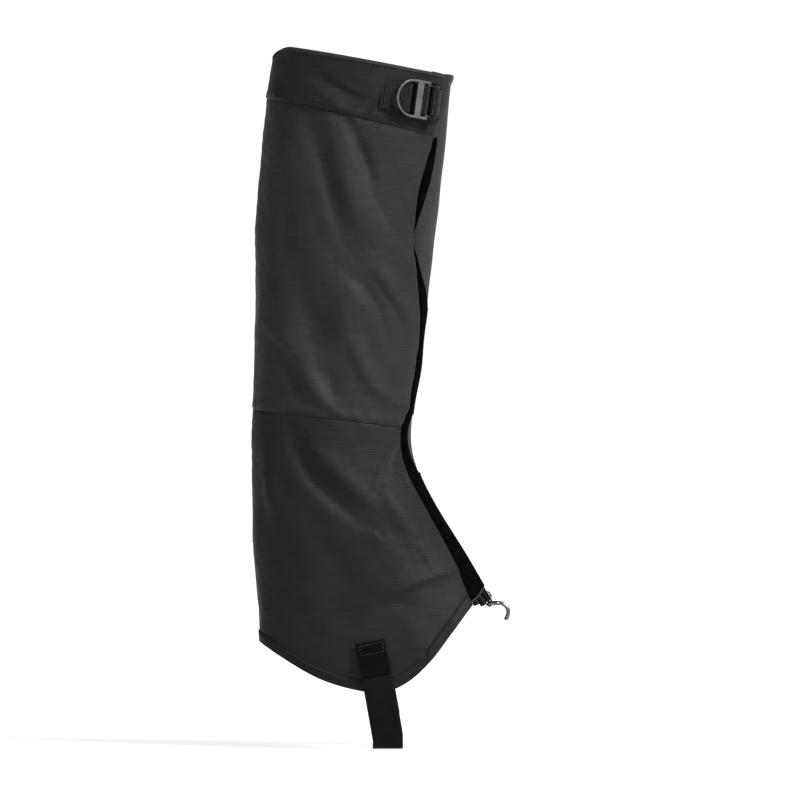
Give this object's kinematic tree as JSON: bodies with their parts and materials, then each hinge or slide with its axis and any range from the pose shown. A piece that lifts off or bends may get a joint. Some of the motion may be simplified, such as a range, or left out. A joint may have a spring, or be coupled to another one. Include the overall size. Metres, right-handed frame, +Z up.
{
  "type": "hiking gaiter",
  "caption": "Knee-high hiking gaiter with a front opening, a lever buckle at the collar, a lace hook and an instep strap under the boot's sole.",
  "frame": {"origin": "middle of the instep strap's upper face, where the boot's sole rests", "axes": "+X towards the toes, +Y towards the inner side of the leg, +Z up the leg"},
  "size_m": [0.1892, 0.1167, 0.5116],
  "materials": {
    "cloth": "fine ribbed nylon with a low sheen",
    "lining": "smooth coated cloth",
    "binding": "woven tape",
    "closure": "napped touch-and-close strip",
    "webbing": "ribbed webbing",
    "strap_rubber": "matte coated strap",
    "buckle_metal": "satin gunmetal",
    "hook_metal": "satin steel wire",
    "adjuster_plastic": "moulded acetal"
  },
  "bodies": {
    "outer_half": {"outer_collar": "cloth", "outer_collar_lining": "lining", "outer_rim_binding": "binding", "outer_upper_panel": "cloth", "outer_lower_panel": "cloth", "outer_hem_binding": "cloth", "outer_mid_seam_tape": "lining", "hook_strip": "closure", "outer_instep_tab": "webbing", "instep_strap": "strap_rubber", "buckle_base": "buckle_metal", "lever_pin": "buckle_metal", "buckle_anchor_webbing": "webbing"},
    "inner_half": {"inner_collar": "cloth", "inner_collar_lining": "lining", "inner_rim_binding": "binding", "inner_upper_panel": "cloth", "inner_lower_panel": "cloth", "inner_hem_binding": "cloth", "inner_mid_seam_tape": "lining", "front_flap": "cloth", "loop_strip": "closure", "cinch_strap": "webbing", "inner_instep_tab": "webbing", "lace_hook_tab": "webbing", "lace_hook_rivet": "hook_metal"},
    "buckle_lever": {"buckle_lever": "buckle_metal"},
    "lace_hook": {"lace_hook": "hook_metal"},
    "instep_adjuster": {"instep_adjuster": "adjuster_plastic"}
  },
  "joints": [
    {"name": "front_opening", "type": "hinge", "parent": "outer_half", "child": "inner_half", "pos_m": [-0.072, 0.04152, 0.3], "axis": [0, 0, 1], "range_deg": [0, 30], "deforming": ["instep_strap", "cinch_strap"]},
    {"name": "lever_pivot", "type": "hinge", "parent": "outer_half", "child": "buckle_lever", "pos_m": [0.03371, -0.04089, 0.46774], "axis": [0.1302, 0.0535, 0.99], "range_deg": [0, 100]},
    {"name": "hook_swing", "type": "hinge", "parent": "inner_half", "child": "lace_hook", "pos_m": [0.07401, 0.0017, 0.10361], "axis": [0, 1, 0], "range_deg": [-30, 60]},
    {"name": "adjuster_tilt", "type": "hinge", "parent": "inner_half", "child": "instep_adjuster", "pos_m": [-0.01009, 0.05426, 0.06185], "axis": [0.9829, 0, 0.184], "range_deg": [0, 40]}
  ]
}
